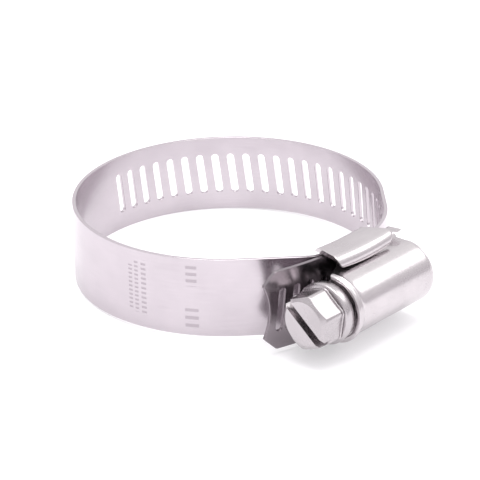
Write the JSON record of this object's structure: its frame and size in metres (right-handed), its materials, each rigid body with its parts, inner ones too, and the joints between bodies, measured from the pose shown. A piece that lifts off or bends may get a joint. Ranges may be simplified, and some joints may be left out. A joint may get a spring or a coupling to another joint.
{
  "type": "worm-drive hose clamp",
  "caption": "Worm-drive hose clamp: slotted steel band loop, saddle, housing and captive worm screw with a slotted hex head and collar.",
  "frame": {"origin": "middle of the base of the whole clamp's box, on the surface it lies on; the axis of the hose stands 5.775 mm towards +Y from it", "axes": "+Z along the axis of the hose; the screw's housing is at -Y; the screw lies along X with its head towards -X"},
  "size_m": [0.0492, 0.0608, 0.0145],
  "materials": {
    "band_steel": "satin rolled stainless strip",
    "formed_steel": "bright pressed stainless sheet",
    "screw_steel": "cold-headed stainless, lightly tumbled"
  },
  "bodies": {
    "clamp_body": {"housing": "formed_steel", "saddle": "formed_steel", "band_fixed_end": "band_steel"},
    "screw": {"worm_screw": "screw_steel"},
    "link_01": {"band_link_01": "band_steel"},
    "link_02": {"band_link_02": "band_steel"},
    "link_03": {"band_link_03": "band_steel"},
    "link_04": {"band_link_04": "band_steel"},
    "link_05": {"band_link_05": "band_steel"},
    "link_06": {"band_link_06": "band_steel"},
    "link_07": {"band_link_07": "band_steel"},
    "link_08": {"band_link_08": "band_steel"},
    "link_09": {"band_link_09": "band_steel"},
    "link_10": {"band_link_10": "band_steel"},
    "tail": {"band_tail": "band_steel"}
  },
  "joints": [
    {"name": "screw_turn", "type": "hinge", "parent": "clamp_body", "child": "screw", "pos_m": [-0.0022, -0.02492, 0.00725], "axis": [1, 0, 0], "range_deg": [-720, 360]},
    {"name": "bend_01", "type": "hinge", "parent": "clamp_body", "child": "link_01", "pos_m": [-0.01148, -0.01711, 0.00725], "axis": [0, 0, 1], "range_deg": [-0.13, 0.25]},
    {"name": "bend_02", "type": "hinge", "parent": "link_01", "child": "link_02", "pos_m": [-0.02068, -0.00699, 0.00725], "axis": [0, 0, 1], "range_deg": [-0.24, 0.47]},
    {"name": "bend_03", "type": "hinge", "parent": "link_02", "child": "link_03", "pos_m": [-0.0243, 0.00605, 0.00725], "axis": [0, 0, 1], "range_deg": [-0.45, 0.88]},
    {"name": "bend_04", "type": "hinge", "parent": "link_03", "child": "link_04", "pos_m": [-0.02039, 0.019, 0.00725], "axis": [0, 0, 1], "range_deg": [-0.64, 1.27]},
    {"name": "bend_05", "type": "hinge", "parent": "link_04", "child": "link_05", "pos_m": [-0.01015, 0.02785, 0.00725], "axis": [0, 0, 1], "range_deg": [-0.71, 1.41]},
    {"name": "bend_06", "type": "hinge", "parent": "link_05", "child": "link_06", "pos_m": [0.00418, 0.02971, 0.00725], "axis": [0, 0, 1], "range_deg": [-0.58, 1.14]},
    {"name": "bend_07", "type": "hinge", "parent": "link_06", "child": "link_07", "pos_m": [0.0158, 0.02424, 0.00725], "axis": [0, 0, 1], "range_deg": [-0.4, 0.78]},
    {"name": "bend_08", "type": "hinge", "parent": "link_07", "child": "link_08", "pos_m": [0.023, 0.01361, 0.00725], "axis": [0, 0, 1], "range_deg": [-0.34, 0.67]},
    {"name": "bend_09", "type": "hinge", "parent": "link_08", "child": "link_09", "pos_m": [0.02378, 0.00078, 0.00725], "axis": [0, 0, 1], "range_deg": [-0.5, 0.99]},
    {"name": "bend_10", "type": "hinge", "parent": "link_09", "child": "link_10", "pos_m": [0.01608, -0.01248, 0.00725], "axis": [0, 0, 1], "range_deg": [-0.88, 1.74]},
    {"name": "bend_11", "type": "hinge", "parent": "link_10", "child": "tail", "pos_m": [0.00564, -0.01998, 0.00725], "axis": [0, 0, 1], "range_deg": [-3.38, 1.7]}
  ],
  "couplings": [
    {"joint": "bend_01", "follows": "screw_turn", "ratio": -0.00032},
    {"joint": "bend_02", "follows": "screw_turn", "ratio": -0.000633},
    {"joint": "bend_03", "follows": "screw_turn", "ratio": -0.001203},
    {"joint": "bend_04", "follows": "screw_turn", "ratio": -0.001741},
    {"joint": "bend_05", "follows": "screw_turn", "ratio": -0.001934},
    {"joint": "bend_06", "follows": "screw_turn", "ratio": -0.001558},
    {"joint": "bend_07", "follows": "screw_turn", "ratio": -0.001062},
    {"joint": "bend_08", "follows": "screw_turn", "ratio": -0.000906},
    {"joint": "bend_09", "follows": "screw_turn", "ratio": -0.001349},
    {"joint": "bend_10", "follows": "screw_turn", "ratio": -0.002401},
    {"joint": "bend_11", "follows": "screw_turn", "ratio": 0.004678}
  ]
}
